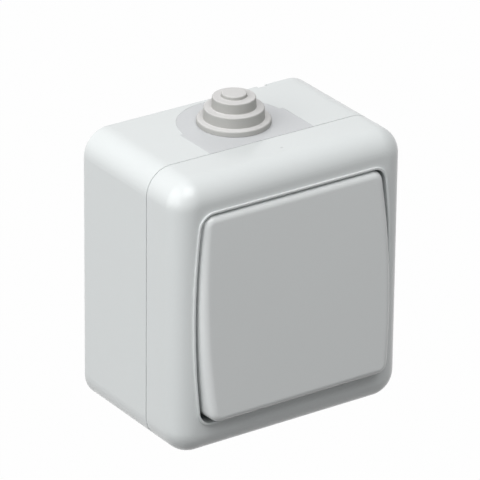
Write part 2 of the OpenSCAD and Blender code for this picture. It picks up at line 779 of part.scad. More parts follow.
// Hook that snaps under the edge of the cradle's plate
module rocker_clip() {
    leg_y = cradle_h / 2 + fit_gap;
    hook_z = cradle_top - cradle_t - fit_gap;
    translate([-clip_w / 2, leg_y, hook_z - 1])
        cube([clip_w, clip_t, face_z - rocker_face_t / 2 - hook_z + 1]);
    translate([0, leg_y, hook_z]) rotate([90, 0, 90]) linear_extrude(clip_w, center = true)
        polygon([[0.1, -1], [0, -1], [-clip_bite, -0.3], [-clip_bite, 0], [0.1, 0]]);
}

// Plunger: round tip on the blade, collar inside the tube and a stem for the spring
module plunger() on_wall() color(base_colour) at_rest() {
    translate([0, 0, tip_z + tip_r]) sphere(tip_r);
    translate([0, 0, tip_z + tip_r]) cylinder(r = tip_r, h = collar_z - tip_z - tip_r + collar_h / 2);
    translate([0, 0, collar_z]) cylinder(r = plunger_r, h = collar_h);
    translate([0, 0, collar_z]) cylinder(r = plunger_r - spring_wire - 0.3, h = collar_h + 3);
}

// Coil spring between the plunger's collar and the head of the tube
module plunger_spring() on_wall() color(steel_colour) at_rest()
    coil(spring_r, spring_wire / 2, spring_z + spring_wire / 2,
        spring_seat_z - spring_wire / 2 - fit_gap, spring_turns);

// Round wire on a helix: each ring of points follows the turn, and the ends are closed
module coil(r, wire, z0, z1, turns) {
    per_turn = 16;
    sides = 6;
    n = turns * per_turn;
    function ring(i) = [for (k = [0 : sides - 1])
        let (a = 360 * i / per_turn, b = 360 * k / sides, reach = r + wire * cos(b))
        [reach * cos(a), reach * sin(a), z0 + (z1 - z0) * i / n + wire * sin(b)]];
    points = [for (i = [0 : n]) each ring(i)];
    walls = [for (i = [0 : n - 1], k = [0 : sides - 1])
        let (a = i * sides + k, b = i * sides + (k + 1) % sides)
        each [[a, a + sides, b], [b, a + sides, b + sides]]];
    polyhedron(points, concat([[for (k = [0 : sides - 1]) k]], walls,
        [[for (k = [sides - 1 : -1 : 0]) n * sides + k]]));
}

// Seesaw blade that the plunger rocks over the fulcrum
module contact_blade() on_wall() color(brass_colour) blade_at_rest() difference() {
    translate([-blade_w / 2, -blade_l / 2, blade_z + blade_under]) cube([blade_w, blade_l, blade_t]);
    rotate([90, 0, 90]) linear_extrude(2 * blade_w, center = true)
        polygon([[-0.6, blade_z + blade_under - 0.1], [0, blade_z + blade_under + blade_t / 2],
            [0.6, blade_z + blade_under - 0.1]]);
}

// Silver contact on the lower end of the blade
module blade_contact() on_wall() color(silver_colour) blade_at_rest()
    translate([0, -contact_y, blade_z + blade_under - contact_h])
        cylinder(r = contact_r, h = contact_h);

// Brass strip with the fulcrum, and its tongue to the line terminal
module fulcrum_strip() on_wall() color(brass_colour) {
    strip_w = blade_w - 1;
    peak_z = blade_z + blade_under - 0.05;
    foot_y = 3;
    translate([-strip_w / 2, -foot_y, strip_z])
        cube([strip_w, terminal_y + tongue_w / 2 + foot_y - 0.2, strip_t]);
    rotate([90, 0, 90]) linear_extrude(strip_w, center = true)
        polygon([[-foot_y, strip_z + strip_t / 2], [-0.2, peak_z - 0.2], [0, peak_z], [0.2, peak_z - 0.2],
            [foot_y, strip_z + strip_t / 2]]);
    translate([-terminal_x - terminal_w / 2, terminal_y - tongue_w / 2 + 0.2, strip_z])
        cube([terminal_x + terminal_w / 2, tongue_w - 0.4, strip_t]);
}

// Brass strip below the fixed contact, led round the screw lug to the load terminal
module load_strip() on_wall() color(brass_colour) {
    low_y = -contact_y - load_run_w / 2;
    outer_x = terminal_x + load_run_w / 2;
    side_x = chamber_w / 2 - side_run_w - 2 * fit_gap;
    translate([-load_run_w / 2, low_y, strip_z])
        cube([side_x + side_run_w + load_run_w / 2, load_run_w, strip_t]);
    translate([side_x, low_y, strip_z])
        cube([side_run_w, cross_y + load_run_w - low_y, strip_t]);
    translate([side_x, cross_y, strip_z])
        cube([outer_x - side_x, load_run_w, strip_t]);
    translate([outer_x - load_run_w, cross_y, strip_z])
        cube([load_run_w, terminal_y + terminal_l / 2 - cross_y, strip_t]);
}

// Silver contact that the blade closes on
module fixed_contact() on_wall() color(silver_colour)
    translate([0, -contact_y, strip_z + strip_t])
        cylinder(r = fixed_contact_r, h = fixed_top_z - strip_z - strip_t);

// Brass block with a bore for the wire and one for its screw
module terminal_block(s) on_wall() color(brass_colour)
    translate([s * terminal_x, terminal_y, strip_z + strip_t]) difference() {
        translate([-terminal_w / 2, -terminal_l / 2, 0]) cube([terminal_w, terminal_l, terminal_h]);
        translate([0, terminal_l, wire_rise]) rotate([90, 0, 0])
            cylinder(r = wire_r, h = 2 * terminal_l);
        translate([0, 0, wire_rise]) cylinder(r = terminal_screw_r + run_gap, h = terminal_h);
    }

module line_terminal() terminal_block(-1);

module load_terminal() terminal_block(1);

// Screws of the two terminals
module terminal_screws() on_wall() color(steel_colour) at_terminals()
    translate([0, terminal_y, strip_z + strip_t + terminal_h + 1])
        slotted_screw(terminal_screw_r, terminal_h - wire_rise, terminal_head_r, terminal_head_h);

base_box();
entry_plate();
cable_grommet();
box_seal();
cover_frame();
cover_screws();
screw_seals();
window_seal();
mechanism_base();
mechanism_screws();
bearing_bridge();
cradle();
rocker();
plunger();
plunger_spring();
contact_blade();
blade_contact();
fulcrum_strip();
load_strip();
fixed_contact();
line_terminal();
load_terminal();
terminal_screws();
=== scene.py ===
import math
import bmesh
import bpy
import numpy as np
from mathutils import Matrix, Vector
from mathutils.geometry import delaunay_2d_cdt


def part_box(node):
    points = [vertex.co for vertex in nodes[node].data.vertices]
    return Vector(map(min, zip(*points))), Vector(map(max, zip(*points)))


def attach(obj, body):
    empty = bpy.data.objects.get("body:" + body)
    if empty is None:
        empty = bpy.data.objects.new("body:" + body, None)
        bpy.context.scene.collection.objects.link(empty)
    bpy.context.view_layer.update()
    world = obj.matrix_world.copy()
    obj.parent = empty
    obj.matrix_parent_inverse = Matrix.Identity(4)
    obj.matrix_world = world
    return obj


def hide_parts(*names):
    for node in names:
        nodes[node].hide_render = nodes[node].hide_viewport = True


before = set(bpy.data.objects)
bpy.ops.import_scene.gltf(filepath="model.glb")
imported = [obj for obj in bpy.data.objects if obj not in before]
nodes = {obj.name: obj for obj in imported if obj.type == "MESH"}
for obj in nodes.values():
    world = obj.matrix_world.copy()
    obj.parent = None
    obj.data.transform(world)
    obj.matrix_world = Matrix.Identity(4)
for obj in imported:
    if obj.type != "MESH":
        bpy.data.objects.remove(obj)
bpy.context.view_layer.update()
print("frame loaded:", len(nodes), "nodes")

# Lengths are in millimetres, in the switch's own drawing frame: x to the right, y up and
# z out of the wall. toRow() turns them into the frame's metres.


def toRow(points):
    # (x, y, z) in millimetres becomes (x, -z, y) / 1000
    p = np.asarray(points, float)
    return np.stack([p[..., 0], -p[..., 2], p[..., 1]], axis=-1) / 1000.0


def nodeSpan(name):
    # the node's box as (low, high) corners, taken back from metres to (x, y, z) in millimetres
    low, high = (np.array(list(v), float) * 1000.0 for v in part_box(name))
    return np.array([low[0], low[2], -high[1]]), np.array([high[0], high[2], -low[1]])


housing = {"cornerRadius": 6.8, "edgeRound": 5.9, "wall": 2.2, "seam": 0.3}
opening = {
    "width": 55.8, "height": 54.6, "bow": 1.8, "cornerRadius": 3.6, "rimWidth": 0.7, "rimHeight": 0.35,
}
meshSteps = {"side": 26, "corner": 18}

coverLow, coverHigh = nodeSpan("cover_frame")
housing["width"], housing["height"] = (coverHigh - coverLow)[:2]
housing["front"] = coverHigh[2] - opening["rimHeight"]
housing["parting"] = nodeSpan("base_box")[1][2] + housing["seam"]


def srgb(r, g, b):
    # c / 12.92 below 0.04045, else ((c + 0.055) / 1.055) ^ 2.4, for each channel
    c = np.array([r, g, b], float) / 255.0
    return tuple(np.where(c <= 0.04045, c / 12.92, ((c + 0.055) / 1.055) ** 2.4)) + (1.0,)


def arcPoints(cx, cy, r, start, stop, count):
    # centre + r * (cos a, sin a) for a running from start to stop
    a = np.linspace(start, stop, count, endpoint=False)
    return np.stack([cx + r * np.cos(a), cy + r * np.sin(a)], axis=-1)


def linePoints(a, b, count):
    # a + t * (b - a) for t from 0 up to, but without, 1
    t = np.linspace(0.0, 1.0, count, endpoint=False)[:, None]
    return np.array(a, float) + t * (np.array(b, float) - np.array(a, float))


def roundLoop(width, height, radius, inset):
    # four straight sides and four quarter circles, all moved inwards by inset
    r = max(radius - inset, 0.02)
    hx = width / 2 - inset - r
    hy = height / 2 - inset - r
    s, c = meshSteps["side"], meshSteps["corner"]
    q = math.pi / 2
    return np.vstack([
        linePoints((hx + r, -hy), (hx + r, hy), s), arcPoints(hx, hy, r, 0, q, c),
        linePoints((hx, hy + r), (-hx, hy + r), s), arcPoints(-hx, hy, r, q, 2 * q, c),
        linePoints((-hx - r, hy), (-hx - r, -hy), s), arcPoints(-hx, -hy, r, 2 * q, 3 * q, c),
        linePoints((-hx, -hy - r), (hx, -hy - r), s), arcPoints(hx, -hy, r, 3 * q, 4 * q, c),
    ])


def bowedLoop(width, height, bow, radius, inset):
    # the sides are arcs of radius (h^2/4 + bow^2) / (2 bow) about points far to the other side,
    # the corners are circles that touch them, and an inset only makes every radius smaller
    big = (height ** 2 / 4 + bow ** 2) / (2 * bow)
    far = big - width / 2
    yc = height / 2 - radius
    xc = math.sqrt((big - radius) ** 2 - yc ** 2) - far
    turn = math.atan2(yc, xc + far)
    b = big - inset
    r = max(radius - inset, 0.02)
    top = yc + r
    s, c = meshSteps["side"], meshSteps["corner"]
    pi = math.pi
    q = pi / 2
    return np.vstack([
        arcPoints(-far, 0, b, -turn, turn, s), arcPoints(xc, yc, r, turn, q, c),
        linePoints((xc, top), (-xc, top), s), arcPoints(-xc, yc, r, q, pi - turn, c),
        arcPoints(far, 0, b, pi - turn, pi + turn, s), arcPoints(-xc, -yc, r, pi + turn, 3 * q, c),
        linePoints((-xc, -top), (xc, -top), s), arcPoints(xc, -yc, r, 3 * q, 4 * q - turn, c),
    ])


def housingLoop(inset):
    # the housing's outline moved inwards
    return roundLoop(housing["width"], housing["height"], housing["cornerRadius"], inset)


def openingLoop(inset):
    # the opening's outline moved inwards, or outwards for a negative inset
    return bowedLoop(opening["width"], opening["height"], opening["bow"], opening["cornerRadius"], inset)


def insetFrom(xy):
    # distance inside the housing's outline: minus the signed distance of a round-cornered rectangle
    r = housing["cornerRadius"]
    qx = np.abs(xy[..., 0]) - (housing["width"] / 2 - r)
    qy = np.abs(xy[..., 1]) - (housing["height"] / 2 - r)
    outside = np.hypot(np.maximum(qx, 0), np.maximum(qy, 0))
    return r - outside - np.minimum(np.maximum(qx, qy), 0)


def roundDrop(inset, r):
    # how far a quarter circle of radius r has fallen at this inset: r - sqrt(r^2 - (r - inset)^2)
    t = np.clip(r - inset, 0, r)
    return r - np.sqrt(np.maximum(r * r - t * t, 0))


def atHeight(xy, z):
    # the outline lifted to one height, or to a height for each point
    return np.column_stack([xy, np.broadcast_to(z, len(xy))])


def softPath(corners, steps=4, support=0.12):
    # a path of (inset, height, round) corners: each round becomes an arc that touches both legs,
    # with one more point close to each end so that the flats stay flat when shaded
    pts = [np.array(c[:2], float) for c in corners]
    out = [pts[0]]
    for before, p, after, r in zip(pts, pts[1:], pts[2:], [c[2] for c in corners[1:]]):
        if r <= 0:
            out.append(p)
            continue
        la, lb = np.linalg.norm(before - p), np.linalg.norm(after - p)
        a, b = (before - p) / la, (after - p) / lb
        half = math.acos(float(np.clip(a @ b, -1, 1))) / 2
        cut = min(r / math.tan(half), 0.49 * la, 0.49 * lb)
        r = cut * math.tan(half)
        centre = p + (a + b) / np.linalg.norm(a + b) * r / math.sin(half)
        s0, s1 = p + a * cut - centre, p + b * cut - centre
        span = math.pi - 2 * half
        t = np.linspace(0, 1, steps + 1)[:, None]
        arc = centre + (np.sin((1 - t) * span) * s0 + np.sin(t * span) * s1) / math.sin(span)
        out += [p + a * (cut + support)] * (la * 0.49 > cut + support)
        out += list(arc)
        out += [p + b * (cut + support)] * (lb * 0.49 > cut + support)
    return out + [pts[-1]]


def carried(loop, path):
    # one row of the surface for each point of the path: loop(inset) at that height
    return [atHeight(loop(p[0]), p[1]) for p in path]


def ruled(a, b, count, height):
    # rows (1 - g) * a + g * b with g = sin(v * 90 degrees), lifted to height(point)
    g = np.sin(np.linspace(0, 1, count) * math.pi / 2)[:, None, None]
    xy = (1 - g) * a[None] + g * b[None]
    return list(np.concatenate([xy, height(xy)[..., None]], axis=-1))


def turnedPath(path, x, y, around):
    # each (radius, height) of the path goes round the upright axis: (x + r cos a, y + r sin a, h)
    a = np.linspace(0, 2 * math.pi, around, endpoint=False)
    ring = np.stack([np.cos(a), np.sin(a)], axis=-1)
    return [atHeight(np.array([x, y]) + p[0] * ring, p[1]) for p in path]


def surface(rows, closeRows=False, poles=False):
    # (vertices, quads, triangles) of a grid whose columns run all the way round; with poles the
    # first and the last row are closed by one point each
    grid = np.stack(rows)
    n, m = grid.shape[:2]
    i, j = np.meshgrid(np.arange(n if closeRows else n - 1), np.arange(m), indexing="ij")
    i2, j2 = (i + 1) % n, (j + 1) % m
    quads = np.stack([i * m + j, i * m + j2, i2 * m + j2, i2 * m + j], axis=-1).reshape(-1, 4)
    verts = grid.reshape(-1, 3)
    if not poles:
        return verts, quads, np.zeros((0, 3), int)
    verts = np.vstack([verts, grid[0].mean(0), grid[-1].mean(0)])
    k = np.arange(m)
    k2 = (k + 1) % m
    start = np.stack([np.full(m, n * m), k2, k], axis=-1)
    end = np.stack([np.full(m, n * m + 1), (n - 1) * m + k, (n - 1) * m + k2], axis=-1)
    return verts, quads, np.vstack([start, end])


def flatBetween(loops, z):
    # a flat sheet at height z inside the first outline, less the triangles that fill the others
    sizes = np.array([len(p) for p in loops])
    first = np.repeat(np.cumsum(sizes) - sizes, sizes)
    step = np.arange(sizes.sum()) - first
    edges = np.stack([first + step, first + (step + 1) % np.repeat(sizes, sizes)], axis=-1)
    xy = np.vstack([p[:, :2] for p in loops])
    faces = np.array(delaunay_2d_cdt(xy.tolist(), edges.tolist(), [], 1, 1e-6)[2])
    owner = np.repeat(np.arange(len(loops)), sizes)[faces]
    filled = (owner[:, 0] > 0) & (owner == owner[:, :1]).all(axis=1)  # three corners on one hole's edge
    return atHeight(xy, z), np.zeros((0, 4), int), faces[~filled]


def joined(parts):
    # several surfaces as one: each face's numbers move up by the vertices before it
    counts = np.cumsum([0] + [len(p[0]) for p in parts])
    return (np.vstack([p[0] for p in parts]), np.vstack([p[1] + c for p, c in zip(parts, counts)]),
            np.vstack([p[2] + c for p, c in zip(parts, counts)]))


def makePiece(name, parts, material, body, replaces=(), attribute=None):
    # the surfaces in the frame's metres, welded along their common edges and turned outwards
    verts, quads, tris = joined(parts)
    data = bpy.data.meshes.new(name)
    data.from_pydata(toRow(verts).tolist(), [], quads.tolist() + tris.tolist())
    if attribute is not None:
        layer = data.attributes.new(attribute[0], "FLOAT", "POINT")
        layer.data.foreach_set("value", np.asarray(attribute[1], np.float32))
    work = bmesh.new()
    work.from_mesh(data)
    bmesh.ops.remove_doubles(work, verts=work.verts, dist=2e-6)
    bmesh.ops.recalc_face_normals(work, faces=work.faces)
    work.to_mesh(data)
    work.free()
    data.polygons.foreach_set("use_smooth", np.ones(len(data.polygons), bool))
    data.set_sharp_from_angle(angle=math.radians(48))
    obj = bpy.data.objects.new(name, data)
    bpy.context.scene.collection.objects.link(obj)
    data.materials.append(material)
    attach(obj, body)
    if replaces:
        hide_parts(*replaces)
    print("made", name, len(data.polygons), "faces")
    return obj


def newMaterial(name):
    # an empty node tree with a Principled shader and Object coordinates
    mat = bpy.data.materials.new(name)
    mat.use_nodes = True
    tree = mat.node_tree
    return mat, tree, tree.nodes["Principled BSDF"], tree.nodes.new("ShaderNodeTexCoord").outputs["Object"]


def noise(tree, vector, scale, detail=2.0, rough=0.5):
    # fractal noise on the given coordinates
    n = tree.nodes.new("ShaderNodeTexNoise")
    n.inputs["Scale"].default_value = scale
    n.inputs["Detail"].default_value = detail
    n.inputs["Roughness"].default_value = rough
    tree.links.new(vector, n.inputs["Vector"])
    return n.outputs["Fac"]


def spread(tree, source, low, high, fromLow=0.15, fromHigh=0.85):
    # low + (x - fromLow) / (fromHigh - fromLow) * (high - low)
    m = tree.nodes.new("ShaderNodeMapRange")
    m.inputs["From Min"].default_value = fromLow
    m.inputs["From Max"].default_value = fromHigh
    m.inputs["To Min"].default_value = low
    m.inputs["To Max"].default_value = high
    tree.links.new(source, m.inputs["Value"])
    return m.outputs["Result"]


def mixColour(tree, factor, a, b):
    # a * (1 - factor) + b * factor
    m = tree.nodes.new("ShaderNodeMix")
    m.data_type = "RGBA"
    tree.links.new(factor, m.inputs["Factor"])
    for socket, c in ((m.inputs[6], a), (m.inputs[7], b)):
        if isinstance(c, tuple):
            socket.default_value = c
        else:
            tree.links.new(c, socket)
    return m.outputs[2]


def shade(colour, k):
    # the colour times k, without its alpha
    return tuple(min(v * k, 1.0) for v in colour[:3]) + (1.0,)


def bumped(tree, shader, sources):
    # height maps chained one after the other: each is (output, strength, distance in metres)
    normal = None
    for out, strength, distance in sources:
        b = tree.nodes.new("ShaderNodeBump")
        b.inputs["Strength"].default_value = strength
        b.inputs["Distance"].default_value = distance
        tree.links.new(out, b.inputs["Height"])
        if normal:
            tree.links.new(normal, b.inputs["Normal"])
        normal = b.outputs["Normal"]
    tree.links.new(normal, shader.inputs["Normal"])


def mouldedPlastic(name, look):
    # slow drift of tint, fine spark grain, gloss that varies a little over the surface, and painted shade from the
    # piece's attribute where the look names one
    mat, tree, shader, place = newMaterial(name)
    drift = noise(tree, place, look["driftScale"], 3.0)
    fleck = noise(tree, place, look["grainScale"] * 0.6)
    tint = mixColour(tree, spread(tree, drift, 0, 1), shade(look["colour"], 1 - look["drift"]),
                     shade(look["colour"], 1 + look["drift"]))
    tint = mixColour(tree, spread(tree, fleck, 0, look["fleck"]), tint, shade(look["colour"], 0.90))
    if "mark" in look:
        centre, radius, depth = look["mark"]
        away = tree.nodes.new("ShaderNodeVectorMath")
        away.operation = "DISTANCE"
        away.inputs[1].default_value = centre
        tree.links.new(place, away.inputs[0])
        dot = spread(tree, away.outputs["Value"], depth, 0, radius * 0.4, radius)
        tint = mixColour(tree, dot, tint, shade(look["colour"], 0.45))
    # painted shade: where the attribute is 1 the colour falls to deepShade times its own
    if "deep" in look:
        deep = tree.nodes.new("ShaderNodeAttribute")
        deep.attribute_name = look["deep"]
        tint = mixColour(tree, deep.outputs["Fac"], tint, shade(look["colour"], look["deepShade"]))
    tree.links.new(tint, shader.inputs["Base Color"])
    tree.links.new(spread(tree, drift, look["rough"] - 0.02, look["rough"] + 0.02), shader.inputs["Roughness"])
    bumped(tree, shader, [(noise(tree, place, look["waveScale"], 1.0), look["waveBump"], 0.0004),
                          (noise(tree, place, look["grainScale"]), look["grainBump"], 0.00006)])
    shader.inputs["IOR"].default_value = 1.46
    shader.inputs["Coat Weight"].default_value = look["coat"]
    shader.inputs["Coat Roughness"].default_value = look["coatRough"]
    return mat


def softRubber(name, look):
    # matt skin with a pebbled grain; steep walls get painted shade, a darker colour mixed in by the piece's attribute
    mat, tree, shader, place = newMaterial(name)
    patch = noise(tree, place, 420, 3.0)
    tint = mixColour(tree, spread(tree, patch, 0, 1), shade(look["colour"], 0.96), shade(look["colour"], 1.03))
    # painted shade: the attribute mixes the darker colour into the steep walls
    if "attribute" in look:
        wall = tree.nodes.new("ShaderNodeAttribute")
        wall.attribute_name = look["attribute"]
        tint = mixColour(tree, wall.outputs["Fac"], tint, look["paintedShadeColour"])
    tree.links.new(tint, shader.inputs["Base Color"])
    tree.links.new(spread(tree, patch, look["rough"] - 0.05, look["rough"] + 0.05), shader.inputs["Roughness"])
    bumped(tree, shader, [(noise(tree, place, 2600, 3.0, 0.6), 0.25, 0.0001)])
    return mat


def brightMetal(name, look):
    # drawn metal: streaks along one axis vary the gloss, and dull patches vary the tint
    mat, tree, shader, place = newMaterial(name)
    turn = tree.nodes.new("ShaderNodeMapping")
    turn.inputs["Scale"].default_value = look["streak"]
    tree.links.new(place, turn.inputs["Vector"])
    streak = noise(tree, turn.outputs["Vector"], 900, 4.0)
    dull = noise(tree, place, 260, 3.0)
    tint = mixColour(tree, spread(tree, dull, 0, 1), shade(look["colour"], 0.88), shade(look["colour"], 1.05))
    tree.links.new(tint, shader.inputs["Base Color"])
    tree.links.new(spread(tree, streak, look["rough"] - 0.08, look["rough"] + 0.1), shader.inputs["Roughness"])
    shader.inputs["Metallic"].default_value = 1.0
    bumped(tree, shader, [(streak, 0.15, 0.00004)])
    return mat


housingLook = {
    "colour": srgb(221, 225, 225), "drift": 0.010, "driftScale": 38, "fleck": 0.14, "grainScale": 3200,
    "grainBump": 0.06, "waveScale": 30, "waveBump": 0.008, "rough": 0.30, "coat": 0.3, "coatRough": 0.1,
}
# the frame's well walls get painted shade from the attribute named by deep
frameLook = dict(housingLook, mark=((0.0013, -0.0339, 0.03575), 0.0005, 0.35), rough=0.32, coat=0.35,
                 coatRough=0.08, deep="paintedWellShade", deepShade=0.12)
rockerLook = dict(housingLook, colour=srgb(223, 226, 226), rough=0.3, coat=0.3, coatRough=0.12, grainBump=0.12)
plateLook = dict(housingLook, colour=srgb(207, 209, 211), rough=0.42, grainBump=0.2, fleck=0.3, coat=0.0)
insulatorLook = dict(housingLook, colour=srgb(228, 224, 212), rough=0.45, coat=0.0)
bridgeLook = dict(housingLook, colour=srgb(196, 199, 198), rough=0.42, coat=0.0)
# the grommet's darker wall colour is painted shade on its steep walls
grommetLook = {
    "colour": srgb(212, 211, 210), "paintedShadeColour": srgb(164, 164, 161), "rough": 0.62, "attribute": "paintedWallShade",
}
sealLook = {"colour": srgb(96, 98, 98), "rough": 0.7}

housingPlastic = mouldedPlastic("housingPlastic", housingLook)
framePlastic = mouldedPlastic("framePlastic", frameLook)
rockerPlastic = mouldedPlastic("rockerPlastic", rockerLook)
platePlastic = mouldedPlastic("platePlastic", plateLook)
insulatorPlastic = mouldedPlastic("insulatorPlastic", insulatorLook)
bridgePlastic = mouldedPlastic("bridgePlastic", bridgeLook)
grommetRubber = softRubber("grommetRubber", grommetLook)
sealRubber = softRubber("sealRubber", sealLook)
brass = brightMetal("brass", {"colour": srgb(214, 180, 104), "rough": 0.3, "streak": (1, 1, 14)})
silver = brightMetal("silver", {"colour": srgb(226, 224, 219), "rough": 0.28, "streak": (1, 1, 1)})
screwSteel = brightMetal("screwSteel", {"colour": srgb(196, 198, 200), "rough": 0.32, "streak": (1, 14, 1)})
springSteel = brightMetal("springSteel", {"colour": srgb(178, 180, 182), "rough": 0.26, "streak": (6, 1, 6)})

nodeFinish = {
    "base_box": housingPlastic, "entry_plate": platePlastic, "cable_grommet": grommetRubber,
    "box_seal": sealRubber, "cover_frame": framePlastic, "cover_screws": screwSteel,
    "screw_seals": sealRubber, "window_seal": sealRubber, "mechanism_base": insulatorPlastic,
    "mechanism_screws": screwSteel, "bearing_bridge": bridgePlastic, "cradle": bridgePlastic,
    "rocker": rockerPlastic, "plunger": insulatorPlastic, "plunger_spring": springSteel,
    "contact_blade": brass, "blade_contact": silver, "fulcrum_strip": brass, "load_strip": brass,
    "fixed_contact": silver, "line_terminal": brass, "load_terminal": brass, "terminal_screws": screwSteel,
}
for name, finish in nodeFinish.items():
    slots = nodes[name].data.materials
    if len(slots) == 0:
        slots.append(finish)
    for k in range(len(slots)):
        slots[k] = finish
print("finishes set")

coverFrame = {
    "seamLeft": 0.08, "seamRound": 0.3, "rimRound": 0.32, "innerRound": 3.7, "wellFloor": 30.0, "floorWall": 2.0,
    "wellWall": 1.2, "windowWidth": 36.4, "windowHeight": 30.0, "windowRound": 3.0, "skirtFoot": 25.5,
    "skirtOut": 2.3, "skirtIn": 3.2, "skirtTop": 30.2, "lap": 0.4,
}
coverScrew = {"x": 20.5, "y": 22.5, "pocketRadius": 3.2, "pocketDepth": 1.0, "bore": 1.8, "pillar": 3.5, "foot": 26.0}


def coverFrameSurface():
    # the skin runs from the well's floor up over the rim, down the outside, round the skirt and
    # back under the floor; the window and both screw towers are tubes, and two flat sheets join all
    h, o, c, s = housing, opening, coverFrame, coverScrew
    floor, under, lap = c["wellFloor"], c["wellFloor"] - c["floorWall"], c["lap"]
    front, rimTop = h["front"], h["front"] + o["rimHeight"]
    seam = h["parting"] - h["seam"] + c["seamLeft"]
    rows = carried(openingLoop, softPath([
        (lap, floor, 0), (0.0, floor, 0.2), (0.0, rimTop, c["rimRound"]), (-o["rimWidth"], rimTop, c["rimRound"]),
        (-o["rimWidth"], front + 0.12, 0)]))
    outward = lambda xy: front - roundDrop(insetFrom(xy), h["edgeRound"])
    for out, up in ((0.045, 0.035), (0.14, 0.0)):  # small hollow where the rim grows out
        loop = openingLoop(-o["rimWidth"] - out)
        rows.append(atHeight(loop, outward(loop) + up))
    rows += ruled(openingLoop(-o["rimWidth"]), housingLoop(0.0), 44, outward)[3:-1]
    rows += carried(housingLoop, softPath([
        (0.0, front - h["edgeRound"], 0), (0.0, seam, c["seamRound"]), (c["skirtOut"], seam, 0.1),
        (c["skirtOut"], c["skirtFoot"], 0.25), (c["skirtIn"], c["skirtFoot"], 0.25),
        (c["skirtIn"], c["skirtTop"], 0.2), (h["wall"], c["skirtTop"], 0.2), (h["wall"], c["skirtTop"] + 1, 0)]))
    inward = lambda xy: front - h["wall"] - roundDrop(insetFrom(xy) - h["wall"], c["innerRound"])
    rows += ruled(openingLoop(-c["wellWall"]), housingLoop(h["wall"]), 20, inward)[::-1]
    rows += carried(openingLoop, softPath([
        (-c["wellWall"], 35.0, 0), (-c["wellWall"], under, 0.2), (lap - c["wellWall"], under, 0)]))
    windowLoop = lambda d: roundLoop(c["windowWidth"], c["windowHeight"], c["windowRound"], d)
    window = carried(windowLoop, softPath([
        (-lap, floor, 0), (0.0, floor, 0.2), (0.0, under, 0.15), (-lap, under, 0)]))
    towerPath = softPath([
        (s["pocketRadius"] + lap, floor, 0), (s["pocketRadius"], floor, 0.1),
        (s["pocketRadius"], floor - s["pocketDepth"], 0.05), (s["bore"], floor - s["pocketDepth"], 0.05),
        (s["bore"], s["foot"], 0.1), (s["pillar"], s["foot"], 0.15), (s["pillar"], under, 0.1),
        (s["pillar"] + lap, under, 0)])
    towers = [turnedPath(towerPath, k * s["x"], -k * s["y"], 56) for k in (-1, 1)]
    top = flatBetween([rows[0], window[0]] + [t[0] for t in towers], floor)
    bottom = flatBetween([rows[-1], window[-1]] + [t[-1] for t in towers], under)
    return [surface(rows), surface(window), surface(towers[0]), surface(towers[1]), top, bottom]


def paintedWellShade(parts):
    # painted shade for the well: 0 at the border's height and 1 from 0.9 mm below it, for the points that lie inside
    # the opening
    points = joined(parts)[0]
    below = housing["front"] - points[:, 2]
    return np.where(insetFrom(points[:, :2]) > 4.6, np.clip((below - 0.1) / 0.8, 0, 1), 0.0)


coverFrameParts = coverFrameSurface()
coverFramePiece = makePiece("cover_frame_skin", coverFrameParts, framePlastic, "housing",
                            ("cover_frame",), attribute=("paintedWellShade", paintedWellShade(coverFrameParts)))

rockerCap = {
    "sideGap": 0.6, "endGap": 0.97, "face": 44.0, "rim": 7.5, "faceWall": 2.0, "sideWall": 1.5,
    "sideRound": 1.95, "endRound": 1.8, "tilt": 4.3, "pivot": 34.2,
}
rockerClip = {"x": 8.0, "width": 4.0, "thickness": 1.4, "bite": 0.9, "y": 11.6, "rib": 1.2, "ribHalf": 9.5,
              "cradleTop": 39.5, "cradleWall": 2.0, "gap": 0.1}


def atRest(points):
    # turns about the x axis through (0, 0, pivot): y' = y cos a - z sin a, z' = y sin a + z cos a
    a = math.radians(-rockerCap["tilt"])
    y, z = points[:, 1], points[:, 2] - rockerCap["pivot"]
    return np.column_stack([points[:, 0], y * math.cos(a) - z * math.sin(a),
                            y * math.sin(a) + z * math.cos(a) + rockerCap["pivot"]])


def postSurface(cx, cy, width, depth, low, high, taper=0.0):
    # a closed upright post: rectangle loops from low to high, narrower by taper at its lower end
    loop = lambda d: roundLoop(width, depth, 0.12, d) + np.array([cx, cy])
    path = [(taper + 0.1, low), (taper, low + 0.1), (0.0, low + 0.3 + taper), (0.0, high)]
    return surface(carried(loop, path), poles=True)


